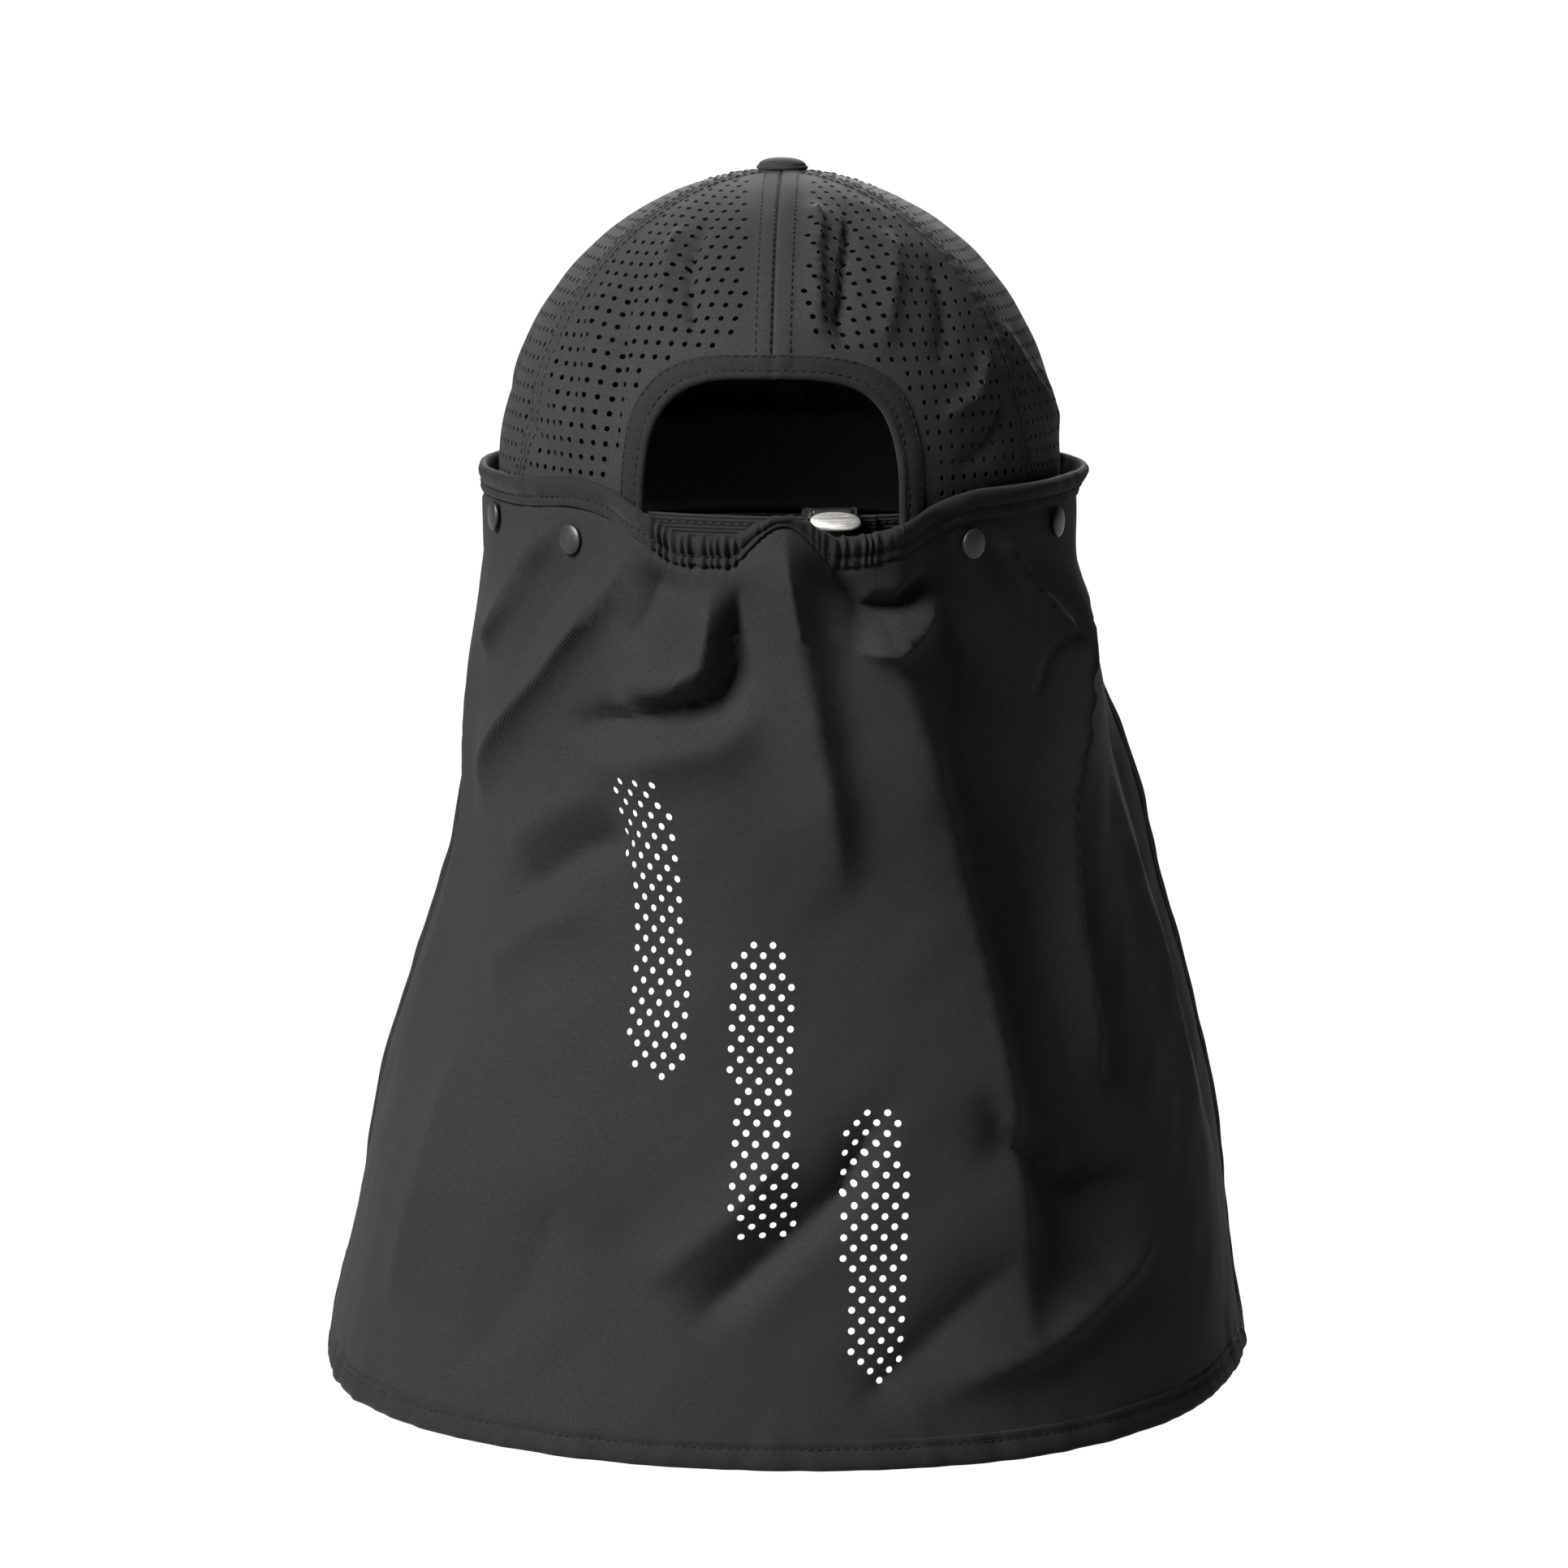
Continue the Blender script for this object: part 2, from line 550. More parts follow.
def vent_distance(points, vents):
    nearest = np.full(len(points), FAR)
    for vent in vents:
        nearest = np.minimum(nearest, np.hypot(*(points - vent).T))
    return nearest


def mark_rims(mesh):
    """Keeps the edges of the cloth and of its vents crisp once it has a thickness."""
    sides = np.zeros(len(mesh.edges), int)
    np.add.at(sides, [edge for face in mesh.polygons for edge in edges_of(mesh, face)], 1)
    sharp = mesh.attributes.new("sharp_edge", "BOOLEAN", "EDGE")
    sharp.data.foreach_set("value", sides == 1)


def edges_of(mesh, face):
    return [mesh.loops[index].edge_index for index in face.loop_indices]


def cut_cloth(name, node_name, outline, vents, vent_radius, inner, place, look, body, slot):
    """A sheet of cloth: flat outline, round vents and inner points are triangulated flat, then placed.

    Gives the piece with its flat size and flat area.
    """
    sides = 10
    angles = circle_angles(sides)
    circle = np.stack([np.cos(angles), np.sin(angles)], -1) * vent_radius
    loops = (vents[:, None, :] + circle[None]).reshape(-1, 2)
    flat = np.concatenate([outline, loops, inner])
    count = len(outline)
    edges = [(index, (index + 1) % count) for index in range(count)]
    for first in range(count, count + len(loops), sides):
        edges += [(first + index, first + (index + 1) % sides) for index in range(sides)]
    corners, _, faces, sources, *_ = delaunay_2d_cdt([Vector(point) for point in flat], edges, [], 1, 1e-7)
    vent_of = []
    for source in sources:
        lowest = min(source) if source else -1
        vent_of.append((lowest - count) // sides if count <= lowest < count + len(loops) else -1)
    kept = []
    for face in faces:
        owners = {vent_of[index] for index in face}
        if len(owners) > 1 or -1 in owners:
            kept.append(face)
    across, along = np.array([tuple(corner) for corner in corners]).T
    piece = mesh_object(name, place(across, along), kept, look, body, slot, on_cloth(across, along))
    mark_rims(piece.data)
    solid = piece.modifiers.new("thickness", "SOLIDIFY")
    solid.thickness = CLOTH_THICKNESS
    solid.offset = -1
    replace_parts(piece, node_name)
    return piece, tuple(np.ptp(outline, axis=0)), ring_area(outline) - len(vents) * pi * vent_radius**2


def ring_area(ring):
    following = np.roll(ring, -1, axis=0)
    return abs((ring[:, 0] * following[:, 1] - following[:, 0] * ring[:, 1]).sum()) / 2


def resampled(line, step):
    line = np.asarray(line, float)
    runs = lengths_along(line)
    count = max(int(round(runs[-1] / step)), 2)
    at = np.linspace(0, runs[-1], count + 1)
    return np.column_stack([np.interp(at, runs, line[:, axis]) for axis in range(line.shape[1])])


class Stitching:
    """Collects rows of stitches, each a short rounded run of thread that dips into the cloth at both ends."""

    sides = 6
    reach = np.array([-0.5, -0.34, 0.0, 0.34, 0.5])
    lift = np.array([-1.3, 0.35, 0.75, 0.35, -1.3])
    girth = np.array([0.6, 0.95, 1.0, 0.95, 0.6])

    def __init__(self):
        self.points = []

    def row(self, turns, heights, place, rise=0.0, pitch=STITCH_PITCH, radius=STITCH_RADIUS):
        base = place(turns, heights, rise)
        runs = lengths_along(base)
        count = int(runs[-1] / pitch)
        middle = (np.arange(count) + 0.5) * runs[-1] / count
        at = middle[:, None] + self.reach * STITCH_LENGTH * pitch / STITCH_PITCH
        turn, height = np.interp(at, runs, turns), np.interp(at, runs, heights)
        lift = rise + radius * self.lift
        centre = place(turn, height, lift)
        normal = unit(place(turn, height, lift + 0.0005) - centre)
        forward = unit(centre[:, -1] - centre[:, 0])[:, None]
        aside = unit(np.cross(normal, forward))
        angles = circle_angles(self.sides)
        ring = normal[:, :, None] * np.cos(angles)[:, None] + aside[:, :, None] * np.sin(angles)[:, None]
        self.points.append(centre[:, :, None] + ring * (radius * self.girth)[:, None, None])

    def build(self, name, look, body, slot):
        points = np.concatenate(self.points)
        rings = len(self.reach)
        size = rings * self.sides
        one = grid_faces(rings, self.sides)
        one += [tuple(range(self.sides))[::-1], tuple(range(size - self.sides, size))]
        one = outward_faces(points[0].reshape(-1, 3), one)
        starts = range(0, len(points) * size, size)
        faces = [tuple(index + start for index in face) for start in starts for face in one]
        return mesh_object(name, points.reshape(-1, 3), faces, look, body, slot)


# Materials


def fill_in(tree, made, **settings):
    """Sets a node's sockets and properties. A setting that is another node's output is linked."""
    for key, value in settings.items():
        socket = made.inputs.get(key.replace("_", " "))
        if socket is None:
            setattr(made, key, value)
        elif isinstance(value, bpy.types.NodeSocket):
            tree.links.new(value, socket)
        else:
            socket.default_value = value
    return made


def node(tree, kind, **settings):
    return fill_in(tree, tree.nodes.new("ShaderNode" + kind), **settings)


def shader_of(name, colour, roughness, **settings):
    look = bpy.data.materials.new(name)
    look.use_nodes = True
    shader = look.node_tree.nodes["Principled BSDF"]
    fill_in(look.node_tree, shader, Base_Color=(*colour, 1), Roughness=roughness, **settings)
    return look, look.node_tree, shader


def cloth_place(tree):
    return node(tree, "Attribute", attribute_name="cloth").outputs["Vector"]


def object_place(tree):
    return node(tree, "TexCoord").outputs["Object"]


def scaled(tree, place, scale, turn=0.0):
    return node(tree, "Mapping", Vector=place, Scale=scale, Rotation=(0, 0, turn)).outputs["Vector"]


def noise(tree, place, scale=1.0, **settings):
    return node(tree, "TexNoise", Vector=place, Scale=scale, **settings).outputs["Fac"]


def ridges(tree, place, pitch, turn=0.0, **settings):
    """Even ridges. The node makes one to each 20 / 2 pi units, so the place is scaled to the pitch."""
    rate = 2 * pi / pitch / 20.0
    flat = scaled(tree, place, (rate, rate, rate), turn)
    return node(tree, "TexWave", Vector=flat, Scale=1.0, **settings).outputs["Fac"]


def maths(tree, operation, first, second):
    made = node(tree, "Math", operation=operation)
    tree.links.new(first, made.inputs[0])
    if isinstance(second, float):
        made.inputs[1].default_value = second
    else:
        tree.links.new(second, made.inputs[1])
    return made.outputs["Value"]


def spread(tree, factor, low, high):
    return node(tree, "MapRange", Value=factor, To_Min=low, To_Max=high).outputs["Result"]


def shade(colour, share):
    return tuple(part * share for part in colour)


def colour_mix(tree, factor, first, second):
    ramp = node(tree, "ValToRGB", Fac=factor)
    for element, position, colour in zip(ramp.color_ramp.elements, (0.3, 0.7), (first, second)):
        element.position = position
        element.color = (*colour, 1)
    return ramp.outputs["Color"]


def bump(tree, height, strength, distance, **before):
    return node(tree, "Bump", Height=height, Strength=strength, Distance=distance, **before).outputs["Normal"]


def woven(name, colour, flat=True, thread=0.00055, relief=0.00012, twill=pi / 4, roughness=0.78):
    """Cloth with a fine diagonal twill, slubs, faint mottling and a soft sheen."""
    look, tree, shader = shader_of(
        name, colour, roughness, Specular_IOR_Level=0.03, Sheen_Weight=0.02, Sheen_Roughness=0.45
    )
    place = cloth_place(tree) if flat else object_place(tree)
    lines = ridges(tree, place, thread, twill, Distortion=0.6, Detail=1.0)
    yarn = noise(tree, scaled(tree, place, (260, 2600, 700)), Detail=2.0)
    weft = noise(tree, scaled(tree, place, (2600, 260, 700)), Detail=2.0)
    mottle = noise(tree, place, 1100.0, Detail=3.0, Roughness=0.6)
    fleck = maths(tree, "MULTIPLY", yarn, weft)
    tone = maths(tree, "MULTIPLY", maths(tree, "ADD", mottle, fleck), 0.66)
    twilled = bump(tree, lines, 0.55, relief)
    fill_in(
        tree,
        shader,
        Base_Color=colour_mix(tree, tone, shade(colour, 0.74), shade(colour, 1.26)),
        Normal=bump(tree, fleck, 0.5, relief * 1.2, Normal=twilled),
    )
    return look


def ribbed(name, colour, pitch, direction="Y"):
    """Webbing and elastic: ribs across, and a finer weave between them."""
    look, tree, shader = shader_of(name, colour, 0.8, Specular_IOR_Level=0.03, Sheen_Weight=0.02)
    place = cloth_place(tree)
    ribs = ridges(tree, place, pitch, bands_direction=direction)
    weave = noise(tree, place, 2200.0, Detail=2.0)
    fill_in(
        tree,
        shader,
        Base_Color=colour_mix(tree, ribs, shade(colour, 0.6), colour),
        Normal=bump(tree, weave, 0.4, 0.0001, Normal=bump(tree, ribs, 0.8, 0.0003)),
    )
    return look


def brushed(name, colour, dark, roughness):
    """Antique plated metal: brushing, darker plating in the hollows, and worn spots."""
    look, tree, shader = shader_of(name, colour, roughness, Metallic=1.0)
    place = object_place(tree)
    lines = noise(tree, scaled(tree, place, (60, 60, 5200)), Detail=3.0)
    patina = noise(tree, place, 420.0, Detail=5.0, Roughness=0.7)
    fill_in(
        tree,
        shader,
        Base_Color=colour_mix(tree, patina, dark, colour),
        Roughness=spread(tree, lines, roughness * 0.7, roughness * 1.5),
        Normal=bump(tree, lines, 0.25, 0.00004),
    )
    return look


def enamel(name, colour, roughness):
    """Satin baked enamel: a faint orange peel, and rubbed patches that shine more."""
    look, tree, shader = shader_of(name, colour, roughness, Specular_IOR_Level=0.32)
    place = object_place(tree)
    peel = noise(tree, place, 1800.0, Detail=2.0)
    rub = noise(tree, place, 350.0, Detail=4.0)
    fill_in(
        tree,
        shader,
        Base_Color=colour_mix(tree, rub, colour, shade(colour, 1.8)),
        Roughness=spread(tree, rub, roughness * 0.8, roughness * 1.3),
        Normal=bump(tree, peel, 0.15, 0.00003),
    )
    return look


def floor_look():
    tone = (0.26, 0.26, 0.26)
    look, tree, shader = shader_of("pale_floor", tone, 0.9, Specular_IOR_Level=0.0)
    drift = noise(tree, object_place(tree), 0.5, Detail=2.0)
    fill_in(tree, shader, Base_Color=colour_mix(tree, drift, (0.258, 0.258, 0.258), (0.262, 0.262, 0.262)))
    return look


def make_looks():
    return {
        "crown": woven("crown_cloth", (0.0113, 0.0114, 0.0119)),
        "cape": woven("cape_cloth", (0.0084, 0.0085, 0.0091)),
        "binding": woven("binding_cloth", (0.0068, 0.0069, 0.0073), thread=0.0005),
        "plain": woven("plain_cloth", (0.0120, 0.0121, 0.0126), flat=False),
        "tape": woven("seam_tape", (0.008, 0.008, 0.0085), flat=False, twill=0.0),
        "sweatband": woven(
            "sweatband_cloth", (0.009, 0.009, 0.0095), thread=0.0011, relief=0.0002, roughness=0.9
        ),
        "thread": woven("thread", (0.0060, 0.0061, 0.0066), flat=False, thread=0.0004, roughness=0.5),
        "webbing": ribbed("strap_webbing", (0.0085, 0.0087, 0.0092), 0.0011),
        "elastic": ribbed("elastic", (0.0070, 0.0070, 0.0075), 0.0009, "X"),
        "board": enamel("visor_board", (0.06, 0.06, 0.065), 0.6),
        "enamel": enamel("snap_enamel", (0.0036, 0.0036, 0.0039), 0.44),
        "silver": brushed("antique_silver", (0.86, 0.85, 0.82), (0.62, 0.60, 0.57), 0.42),
        "steel": brushed("clasp_steel", (0.060, 0.060, 0.060), (0.025, 0.024, 0.024), 0.42),
    }


# Crown


def arch_line(grow, step=0.0015):
    """The arch's outline in X and Z, grown outwards, as evenly spaced points from left to right."""
    half, rise = ARCH_HALF_WIDTH + grow, ARCH_TOP + grow - ARCH_SPRING
    angle = np.linspace(pi, 0, 600)
    power = 2 / ARCH_SQUARENESS
    x = half * np.abs(np.cos(angle)) ** power * np.sign(np.cos(angle))
    z = ARCH_SPRING + rise * np.abs(np.sin(angle)) ** power
    line = np.column_stack([np.r_[-half, x, half], np.r_[0.0, z, 0.0]])
    return resampled(line, step)


def crown_turn(x, height):
    return np.degrees(np.arcsin(np.clip(x / (CROWN_HALF_WIDTH * dome_share(height)), -1, 1)))


def rim_points(line):
    """Rows of points close along both sides of a seam, for the cloth that is raised there."""
    rows = []
    for inset in (0.0004, 0.0009, 0.0016, 0.0024, 0.0031, 0.0040, 0.0052, 0.0058):
        fine = resampled(line, max(0.0011, inset * 0.45))
        along = np.gradient(fine, axis=0)
        normal = unit(np.column_stack([-along[:, 1], along[:, 0]]))
        rows += [fine - normal * inset, fine + normal * inset]
    return np.concatenate(rows)


def gore_outline(edges, low_edge, high_edge, heights, to_flat):
    """A rear panel's outline, cut for the arch, and each of its lines with the margin that the vents keep."""
    line = arch_line(BINDING_WIDTH * 0.5)
    right = edges[0](GORE_MIDDLE) == 0.0
    half = line[line[:, 0] > 0.0003] if right else line[line[:, 0] < -0.0003][::-1]
    cut = to_flat(crown_turn(*half.T), half[:, 1])
    seam, other = (low_edge, high_edge) if right else (high_edge, low_edge)
    seam = seam[heights > ARCH_TOP + BINDING_WIDTH * 0.5 + 0.0004]
    floor_line = resampled([cut[-1], other[0]], 0.002)[1:-1]
    outline = np.concatenate([seam[::-1], cut, floor_line, other])
    return outline if right else outline[::-1], ((seam, 0.0085), (other, 0.0050), (cut, 0.0072))


def make_gore(name, edges, looks, vented, arched):
    """One crown panel, cut flat with its vents and laid on the crown."""
    centre = (edges[0](GORE_MIDDLE) + edges[1](GORE_MIDDLE)) / 2
    top = MERIDIAN_LENGTHS[-1]
    heights = height_at(np.linspace(0, top, int(top / 0.002)))

    def to_flat(turn, height):
        return np.column_stack([np.radians(turn - centre) * crown_scale(centre, height), length_at(height)])

    def place(across, along):
        height = height_at(along)
        return crown_skin(centre + np.degrees(across / crown_scale(centre, height)), height)

    low_edge, high_edge = (np.array([to_flat(edge(h), h)[0] for h in heights]) for edge in edges)
    if arched:
        outline, margins = gore_outline(edges, low_edge, high_edge, heights, to_flat)
    else:
        floor_line = resampled([low_edge[0], high_edge[0]], 0.002)[1:-1]
        outline = np.concatenate([low_edge[::-1], floor_line, high_edge])
        margins = ((low_edge, 0.0052), (high_edge, 0.0052))
    low, high = outline.min(0), outline.max(0)
    half_pitch = VENT_PITCH / 2
    columns = np.arange(np.floor(low[0] / half_pitch) - 1, np.ceil(high[0] / half_pitch) + 2)
    rows = np.arange(0, np.ceil(high[1] / half_pitch) + 2)
    grid = np.array([(column, row) for column in columns for row in rows])
    spots = grid * half_pitch
    within = inside_ring(spots, outline)
    clear = within & (spots[:, 1] > 0.010) & (grid % 2 == 0).all(1) & vented
    for line, margin in margins:
        clear &= line_distance(spots, line) > margin
    vents = spots[clear]
    free = within & (ring_distance(spots, outline) > 0.0062) & ~clear
    rims = np.concatenate([rim_points(line) for line, _ in margins[:2]])
    rims = rims[inside_ring(rims, outline) & (ring_distance(rims, outline) > 0.00035)]
    rims = rims[vent_distance(rims, vents) > VENT_RADIUS + 0.0005]
    inner = np.concatenate([spots[free], rims])
    piece, flat, area = cut_cloth(
        "crown_cloth_" + name, "crown_panel_" + name, outline, vents, VENT_RADIUS, inner, place,
        looks["crown"],
        "cap", "crown_cloth",
    )  # fmt: skip


def make_crown(looks):
    def edge(seam, sign=1):
        return lambda height: sign * seam_turn(seam, height)

    def straight(turn):
        return lambda height: turn

    rear, front = edge(REAR_SEAM), edge(FRONT_SEAM)
    rear_left, front_left = edge(REAR_SEAM, -1), edge(FRONT_SEAM, -1)
    make_gore("back_right", (straight(0.0), rear), looks, True, True)
    make_gore("side_right", (rear, front), looks, True, False)
    make_gore("front_right", (front, straight(180.0)), looks, False, False)
    make_gore("back_left", (rear_left, straight(0.0)), looks, True, True)
    make_gore("side_left", (front_left, rear_left), looks, True, False)
    make_gore("front_left", (straight(-180.0), front_left), looks, False, False)


def seam_rows(thread, seam, low, strips):
    heights = height_at(np.linspace(length_at(low), MERIDIAN_LENGTHS[-1] * 0.965, 220))
    for offset in strips:
        turns = seam(heights) + np.degrees(offset / (CROWN_RADIUS * dome_share(heights)))
        thread.row(turns, heights, crown_skin)


def make_crown_stitches(looks):
    thread = Stitching()
    above = ARCH_TOP + BINDING_WIDTH + 0.0004
    seam_rows(thread, lambda h: 0 * h, above, (-BACK_STRIP, -0.0009, BACK_STRIP))
    seam_rows(thread, lambda h: 180 + 0 * h, 0.002, (-0.0030, 0.0030))
    for sign in (-1, 1):
        for seam in (REAR_SEAM, FRONT_SEAM):
            seam_rows(thread, lambda h: sign * seam_turn(seam, h), 0.002, (-0.0029, 0.0029))
    for grow, rise in ((0.0019, 0.00062), (BINDING_WIDTH - 0.0006, 0.00058)):
        line = arch_line(grow)
        thread.row(crown_turn(*line.T), line[:, 1], crown_skin, rise)
    turns = np.linspace(SWEATBAND_END_TURN + 1, 359 - SWEATBAND_END_TURN, 300)
    thread.row(turns, 0 * turns + 0.0035, crown_skin, 0.00002)
    thread.build("crown_stitches", looks["thread"], "cap", "crown_cloth")


def make_arch_binding(looks):
    """The folded strip round the arch: rolled inner edge, two stitched valleys, turned-in outer edge."""
    section = (
        (-0.0002, -0.0007), (-0.0003, -0.0002), (-0.0001, 0.0004), (0.0004, 0.0008), (0.0011, 0.0009),
        (0.0017, 0.00062), (0.0019, 0.00056), (0.0022, 0.00062), (0.0030, 0.00085), (0.0042, 0.00092),
        (0.0053, 0.00082), (0.0058, 0.00060), (0.0061, 0.00062), (0.0064, 0.00050), (0.0066, 0.00015),
        (0.0065, -0.0009), (0.0045, -0.0011), (0.0020, -0.0011), (0.0004, -0.0010),
    )  # fmt: skip
    count = min(len(arch_line(grow, 0.0011)) for grow, _ in section)
    along = np.linspace(0, 0.17, count)

    def line_at(grow, rise):
        line = arch_line(grow, 0.0011)
        x, height = resampled(line, lengths_along(line)[-1] / (count - 1))[:count].T
        pucker = 0.00010 * wave_along(along, STITCH_PITCH) * (grow < 0.0062) * (rise > 0)
        soft = 0.00016 * ripples(along, 0 * along, 0.012, 21)
        points = crown_skin(crown_turn(x, height), height, rise + pucker + soft)
        return points, on_cloth(along, grow + (rise < 0) * 0.01)

    strip("arch_binding", "rear_arch_binding", section, line_at, looks["binding"], "binding_cloth")


def make_button(looks):
    """A cloth-covered button: domed top, tucked rim."""
    at = Matrix.Translation((0, 0, CROWN_WALL_HEIGHT + DOME_HEIGHT + 0.0003))
    radius, rim_height = BUTTON_DIAMETER / 2, 0.0012
    angle = np.linspace(0.02, pi / 2, 12)
    domed = rim_height + (BUTTON_HEIGHT - rim_height) * np.cos(angle)
    dome = np.column_stack([radius * np.sin(angle) ** 0.9, domed])
    edge = ((1.005, 0.0009), (0.985, 0.0004), (0.93, 0.0), (0.5, 0.0))
    under = [(radius * share, height) for share, height in edge]
    piece = turned("button", np.vstack([dome, under]), at, looks["plain"], "cap", "crown_cloth")
    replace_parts(piece, "top_button")
    section = np.array(((-3, 10), (2, 12), (6, 8), (6, 3), (2, -1), (-3, -1))) * 0.0001 + (radius, 0)
    turned("button_rim", section, at, looks["plain"], "cap", "crown_cloth", closed=True)


def make_sweatband(looks):
    """The band inside the lower edge: soft, with a rolled upper edge."""
    section = (
        (0.0, -0.0), (0.004, 0.0002), (0.010, 0.0), (0.018, 0.0001), (0.026, 0.0002), (0.0300, 0.0003),
        (0.0314, 0.0001), (0.0319, -0.0006), (0.0312, -0.0013), (0.0300, -0.0014), (0.026, -0.0011),
        (0.018, -0.0012), (0.010, -0.0014), (0.004, -0.0012), (0.0, -0.0008),
    )  # fmt: skip
    turns = np.linspace(SWEATBAND_END_TURN, 360 - SWEATBAND_END_TURN, 240)
    along = np.radians(turns) * CROWN_RADIUS

    def line_at(height, rise):
        soft = 0.0003 * ripples(along, 0 * along + height, 0.04, 31)
        return crown_place(turns, height, SWEATBAND_RISE + rise + soft), on_cloth(along, height + rise * 2)

    strip("sweatband_cloth", "sweatband", section, line_at, looks["sweatband"], "sweatband_cloth")


# Visor


def visor_point(across_share, out_share, drop):
    turn = VISOR_END_TURN + (360 - 2 * VISOR_END_TURN) * across_share
    root = crown_place(turn, 0.0)
    edge_turn = radians(90) * (2 * across_share - 1)
    bulge = max(cos(edge_turn), 0.0) ** VISOR_ROUNDNESS
    reach = CROWN_HALF_DEPTH + VISOR_LENGTH
    front = np.array([-VISOR_HALF_WIDTH * sin(edge_turn), blend(VISOR_WIDEST, reach, bulge), 0.0])
    point = root + (front - root) * out_share
    out = np.linalg.norm(point - root)
    curl = VISOR_CURL * (point[0] / VISOR_HALF_WIDTH) ** 2 * float(smooth_step(out / 0.045))
    return np.array([point[0], point[1], -drop - VISOR_SLOPE * out - curl])


def make_visor_cover(name, node_name, drop, looks, row_lift):
    """A stitched cloth cover: closed sheet with a rounded front edge and rows of stitching."""
    rows = np.linspace(-0.03, 1.0, 35)
    rings, cloth = [], []
    for column in np.linspace(0.0, 1.0, 92):
        upper = [visor_point(column, row, drop + row_lift * (rib(row) - tuck(row))) for row in rows]
        lower = [visor_point(column, row, drop + COVER_THICKNESS) for row in rows[::-1]]
        rings.append(upper + lower)
        cloth.append([(column * 0.2, row * 0.07, 0) for row in (*rows, *rows[::-1])])
    piece = lofted(name, np.array(rings), looks["binding"], "cap", "crown_cloth", np.array(cloth))
    piece.data.set_sharp_from_angle(angle=radians(50))
    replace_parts(piece, node_name)


def tuck(row):
    """The cover turns up inside the crown's lower edge, where it is sewn."""
    return 0.0016 * float(1 - smooth_step((row + 0.01) / 0.05))


def rib(row):
    """The hollow that each row of visor stitching pulls in the cloth."""
    beside = abs((row * VISOR_STRIPS + 0.5) % 1.0 - 0.5) / VISOR_STRIPS * VISOR_LENGTH
    return 0.0002 * float(np.exp(-((beside / 0.0012) ** 2))) * (0.1 < row < 0.95)


def make_visor(looks):
    make_visor_cover("visor_top_cloth", "visor_top_cover", VISOR_DROP, looks, 1.0)
    make_visor_cover("visor_under_cloth", "visor_under_cover", VISOR_UNDER_DROP, looks, 0.0)
    thread = Stitching()

    def on_visor(share, row, rise):
        share, row, rise = np.broadcast_arrays(*(np.asarray(v, float) for v in (share, row, rise)))
        spots = zip(share.flat, row.flat, rise.flat)
        points = [visor_point(a, b, VISOR_DROP + rib(b) - c) for a, b, c in spots]
        return np.array(points).reshape(*share.shape, 3)

    shares = np.linspace(0.06, 0.94, 120)
    for row in range(1, VISOR_STRIPS):
        thread.row(shares, 0 * shares + row / VISOR_STRIPS, on_visor, pitch=0.0032)
    thread.build("visor_stitches", looks["thread"], "cap", "crown_cloth")


def make_visor_edge(looks):
    """The piping that closes the visor's edge, from one side of the crown round the front to the other."""
    out = np.linspace(0.02, 1, 30)
    across = np.linspace(0, 1, 130)[1:-1]
    route = [(0.0, v) for v in out] + [(u, 1.0) for u in across] + [(1.0, v) for v in out[::-1]]
    middle = resampled([visor_point(u, v, 0.0032) for u, v in route], 0.0018)
    forward = unit(np.gradient(middle, axis=0))
    towards = unit(np.array([0.0, CROWN_HALF_DEPTH, 0.0]) - middle)
    up = unit(np.cross(forward, towards))
    up = up * np.where(up[:, 2:] < 0, -1, 1)
    inward = unit(np.cross(up, forward))
    inward = inward * np.where((inward * towards).sum(1, keepdims=True) < 0, -1, 1)
    angles = circle_angles(16)
    wide = inward[:, None] * (0.0009 * np.cos(angles) + 0.0003)[:, None]
    rings = middle[:, None] + wide + up[:, None] * (0.0033 * np.sin(angles))[:, None]
    cloth = on_cloth(np.linspace(0, 0.28, len(middle))[:, None], angles * 0.0022)
    lofted("visor_edge_piping", rings, looks["binding"], "cap", "binding_cloth", cloth)


# Strap and clasp


def make_strap(looks):
    """Woven webbing with rounded edges, and its stitching."""
    thread = Stitching()
    bottom, middle, top = STRAP_BOTTOM, STRAP_BOTTOM + STRAP_WIDTH / 2, STRAP_BOTTOM + STRAP_WIDTH
    section = (
        (bottom, -0.0003), (bottom + 0.0006, 0.0), (bottom + 0.005, 0.00003), (middle, 0.00006),
        (top - 0.005, 0.00003), (top - 0.0006, 0.0), (top, -0.0003), (top, -0.0007), (top - 0.0006, -0.00095),
        (middle, -0.00095), (bottom + 0.0006, -0.00095), (bottom, -0.0007),
    )  # fmt: skip

    def main_rise(turn):
        return blend(STRAP_INNER_RISE, STRAP_OUTER_RISE, smooth_step((turn + 10.0) / 12.0))

    def anchor_rise(turn):
        return STRAP_INNER_RISE + 0 * turn

    def make_run(name, node_name, first, last, run_rise):
        turns = np.linspace(first, last, 70)

        def line_at(height, proud):
            points = crown_place(turns, height, run_rise(turns) + proud)
            return points, on_cloth(np.radians(turns) * 0.1, height + proud)

        def on_strap(turn, height, rise):
            return crown_place(turn, height, run_rise(turn) + rise)

        strip(name, node_name, section, line_at, looks["webbing"], "strap_webbing")
        inner = np.linspace(first + 2, last - 1, 60)
        for height in (top - 0.0022, bottom + 0.0022):
            thread.row(inner, 0 * inner + height, on_strap, 0.00002)

    make_run("strap_webbing", "strap", -STRAP_ANCHOR_TURN, STRAP_TAIL_TURN, main_rise)
    make_run("strap_anchor_webbing", "strap_anchor", CLASP_TURN - 2.0, STRAP_ANCHOR_TURN, anchor_rise)
    thread.build("strap_stitches", looks["thread"], "cap", "strap_webbing")


